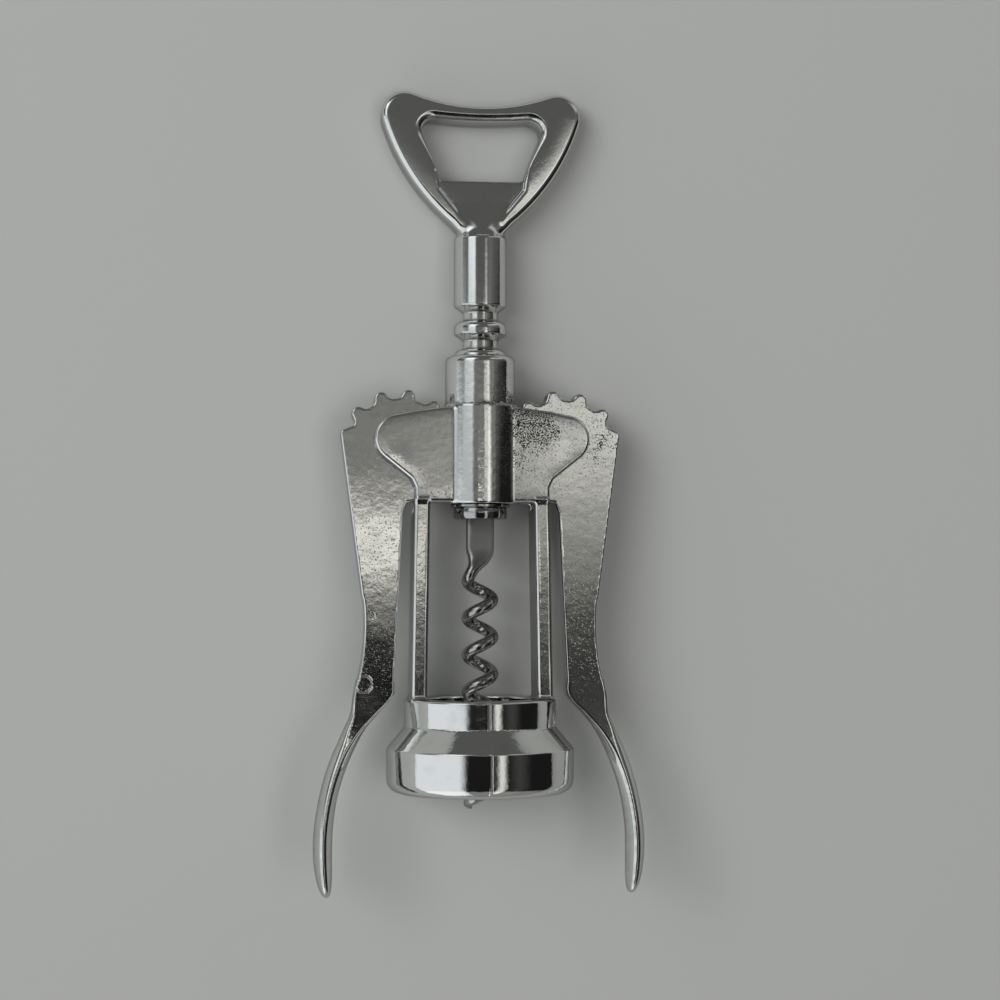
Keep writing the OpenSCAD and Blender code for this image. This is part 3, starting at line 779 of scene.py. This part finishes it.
# pits are given as centre in millimetres, reach in metres and amount
looks = {
    "frameChrome": {
        "Wave": 0.26, "Grain": 0.09, "Scratch": 0.0, "Smooth": 0.06, "Dull": 0.05, "Haze": 0.04,
        "bump": 0.5, "bright": (0.77, 0.77, 0.755), "dull": (0.3, 0.3, 0.285),
        "pits": (((11.2, 81.5, 6.2), 0.012, 0.72), ((6, 86, 7), 0.014, 0.42),
                 ((7, 74, 6.5), 0.013, 0.36))},
    "handleChrome": {
        "Wave": 0.14, "Grain": 0.12, "Scratch": 0.0, "Smooth": 0.06, "Dull": 0.05, "Haze": 0.04,
        "bump": 0.4, "bright": (0.77, 0.77, 0.755), "dull": (0.3, 0.3, 0.285)},
    "leverChrome": {
        "Wave": 0.18, "Grain": 0.07, "Scratch": 0.0, "Smooth": 0.07, "Dull": 0.0, "Haze": 0.04,
        "bump": 0.5, "bright": (0.75, 0.75, 0.735), "dull": (0.28, 0.28, 0.265),
        "pits": (((27, 78, 3), 0.014, 0.36),)},
    "wormSteel": {
        "Wave": 0.4, "Grain": 0.25, "Scratch": 0.05, "Smooth": 0.1, "Dull": 0.3, "Haze": 0.1,
        "bump": 0.4, "bright": (0.44, 0.435, 0.42), "dull": (0.12, 0.115, 0.105)},
    "plainSteel": {
        "Wave": 0.3, "Grain": 0.4, "Scratch": 0.05, "Smooth": 0.1, "Dull": 0.1, "Haze": 0.1,
        "bump": 0.3, "bright": (0.46, 0.46, 0.45), "dull": (0.14, 0.14, 0.13)}}
dress = {"frameChrome": [castFrame], "handleChrome": [castHandle],
         "leverChrome": [leftLever, rightLever], "wormSteel": [wormPiece],
         "plainSteel": [washerPiece, collarPiece, *pinPieces]}
for name, pieces in dress.items():
    finish = castMaterial(name, looks[name])
    for piece in pieces:
        piece.data.materials.append(finish)

# Floor
print("floor, light and camera")
floorLook = {"height": -0.02187, "half": 1.6, "colour": (0.372, 0.376, 0.362), "rough": 0.6}
floorMesh = bpy.data.meshes.new("tableTop")
h, s = floorLook["height"], floorLook["half"]
floorMesh.from_pydata([(-s, -s, h), (s, -s, h), (s, s, h), (-s, s, h)], [], [(0, 1, 2, 3)])
tableTop = bpy.data.objects.new("tableTop", floorMesh)
bpy.context.scene.collection.objects.link(tableTop)
floorMaterial = bpy.data.materials.new("paleTable")
floorMaterial.use_nodes = True
floorShader = floorMaterial.node_tree.nodes["Principled BSDF"]
floorShader.inputs["Base Color"].default_value = (*floorLook["colour"], 1)
floorShader.inputs["Roughness"].default_value = floorLook["rough"]
floorMesh.materials.append(floorMaterial)


def windowGroup():
    # a soft-edged band of light, added to the sky before it: its span across the levers and
    # its span along the screw, both in degrees from straight up, multiplied as masks
    number, paint = "NodeSocketFloat", "NodeSocketColor"
    group, inputs, outputs = newGroup("softWindow", [
        ("Before", paint, (0, 0, 0, 1)), ("Across", number, 0), ("Along", number, 0),
        ("From", number, 0), ("To", number, 0), ("Low", number, 0), ("High", number, 0),
        ("Soft", number, 4), ("Light", paint, (1, 1, 1, 1))], [("Sky", paint)])
    link, maths, _, eased = groupTools(group, inputs)
    value = {socket.name: socket for socket in inputs.outputs}

    def step(angle, edge):
        below = maths("SUBTRACT", value[edge], value["Soft"])
        return eased(value[angle], below, maths("ADD", value[edge], value["Soft"]))

    mask = maths("MULTIPLY", maths("SUBTRACT", step("Across", "From"), step("Across", "To")),
                 maths("SUBTRACT", step("Along", "Low"), step("Along", "High")))
    scaled = node(group, "ShaderNodeVectorMath", 300, 0, operation="SCALE")
    link(value["Light"], scaled.inputs[0])
    link(mask, scaled.inputs["Scale"])
    total = node(group, "ShaderNodeVectorMath", 450, 0, operation="ADD")
    link(value["Before"], total.inputs[0])
    link(scaled.outputs["Vector"], total.inputs[1])
    link(total.outputs["Vector"], outputs.inputs["Sky"])
    return group


# World: a dark ceiling with windows in it, for the chrome to show
skyLook = {"ceiling": (0.011, 0.011, 0.011), "backdrop": (0.34, 0.345, 0.335), "windows": (
    # from, to, low, high, soft edge, light
    (-110, 110, 9, 110, 3, (0.09, 0.093, 0.09)),
    (-60, -27, 10, 42, 5, (0.82, 0.87, 0.9)),
    (-94, -26, -75, 7, 6, (0.82, 0.87, 0.9)),
    (16, 25, -60, 14, 4, (0.8, 0.8, 0.77)),
    (34, 52, -75, 30, 9, (0.04, 0.04, 0.038)),
    (-24, 40, 7, 13, 2.5, (0.115, 0.115, 0.107)),
    (-12, 6.2, 6.9, 8.4, 1.0, (1.3, 1.28, 1.18)),
    (6.2, 30, 6.6, 9.4, 1.5, (0.2, 0.2, 0.18)),
    (7, 15, 9.3, 12.6, 1.4, (0.54, 0.54, 0.5)),
    (7, 15, -6, 6.6, 1.5, (0.03, 0.03, 0.028)),
    (-80, -16, 28, 46, 6, (0.35, 0.36, 0.36)),
    (34, 110, 28, 46, 6, (0.35, 0.36, 0.36)),
    (-110, 110, -100, -42, 7, (0.22, 0.225, 0.225)))}
world = bpy.data.worlds.new("studio")
bpy.context.scene.world = world
world.use_nodes = True
tree = world.node_tree
link = tree.links.new
direction = node(tree, "ShaderNodeTexCoord", -1400)
parts = node(tree, "ShaderNodeSeparateXYZ", -1200)
link(direction.outputs["Generated"], parts.inputs[0])
across = node(tree, "ShaderNodeMath", -1000, 100, operation="ARCTAN2")
link(parts.outputs["X"], across.inputs[0])
link(parts.outputs["Z"], across.inputs[1])
along = node(tree, "ShaderNodeMath", -1000, -100, operation="ARCSINE")
link(parts.outputs["Y"], along.inputs[0])
degrees = []
for angle in (across, along):
    degrees.append(node(tree, "ShaderNodeMath", -800, angle.location[1], operation="DEGREES"))
    link(angle.outputs[0], degrees[-1].inputs[0])
band, before = windowGroup(), None
for k, (*limits, light) in enumerate(skyLook["windows"]):
    window = node(tree, "ShaderNodeGroup", -600 + 150 * k, 0, node_tree=band)
    window.inputs["Before"].default_value = (*skyLook["ceiling"], 1)
    if before:
        link(before.outputs["Sky"], window.inputs["Before"])
    link(degrees[0].outputs[0], window.inputs["Across"])
    link(degrees[1].outputs[0], window.inputs["Along"])
    for label, limit in zip(("From", "To", "Low", "High", "Soft"), limits):
        window.inputs[label].default_value = limit
    window.inputs["Light"].default_value = (*light, 1)
    before = window
rays = node(tree, "ShaderNodeLightPath", 900, 200)
seen = node(tree, "ShaderNodeMix", 1100, 0, data_type="RGBA")  # the camera sees a plain wall
seen.inputs["B"].default_value = (*skyLook["backdrop"], 1)
link(rays.outputs["Is Camera Ray"], seen.inputs["Factor"])
link(before.outputs["Sky"], seen.inputs["A"])
link(seen.outputs["Result"], tree.nodes["Background"].inputs["Color"])
tree.nodes["Background"].inputs["Strength"].default_value = 1.0

# Lamps: two soft rectangles that light the table and stay out of the reflections
lamps = {"aim": (0, 0.065, 0), "panels": (
    # name, direction, distance, width, length, power
    ("keyLeft", (-0.5, 0.25, 0.83), 1.4, 0.5, 0.9, 11),
    ("fillAbove", (0.16, -0.05, 0.98), 1.3, 0.6, 0.6, 4.8))}
for name, direction, distance, width, length, power in lamps["panels"]:
    light = bpy.data.lights.new(name, "AREA")
    light.shape = "RECTANGLE"
    light.size, light.size_y = width, length
    light.energy = power
    lamp = bpy.data.objects.new(name, light)
    bpy.context.scene.collection.objects.link(lamp)
    away = Vector(direction).normalized()
    lamp.location = Vector(lamps["aim"]) + away * distance
    lamp.rotation_euler = away.to_track_quat("Z", "Y").to_euler()
    lamp.visible_glossy = False

# Camera: millimetres, and degrees to the left of the target and below it
cameraPlace = {"target": (4.5, 65.0, 0), "distance": 479, "left": 7.0, "below": 2.3, "lens": 77}
left, below = math.radians(cameraPlace["left"]), math.radians(cameraPlace["below"])
sideways, upright = math.sin(left), math.cos(left)
back = Vector(laidPoint(-sideways, -math.sin(below) * upright,
                        math.cos(below) * upright)).normalized()
right = Vector(laidPoint(0, 1, 0)).cross(back).normalized()
cameraData = bpy.data.cameras.new("camera")
cameraData.lens = cameraPlace["lens"]
camera = bpy.data.objects.new("camera", cameraData)
bpy.context.scene.collection.objects.link(camera)
axes = Matrix((right, back.cross(right), back)).transposed().to_4x4()
target = Vector(laidPoint(*cameraPlace["target"]))
axes.translation = target + back * cameraPlace["distance"] / 1000
camera.matrix_world = axes
bpy.context.scene.camera = camera
bpy.context.scene.view_settings.view_transform = "Standard"
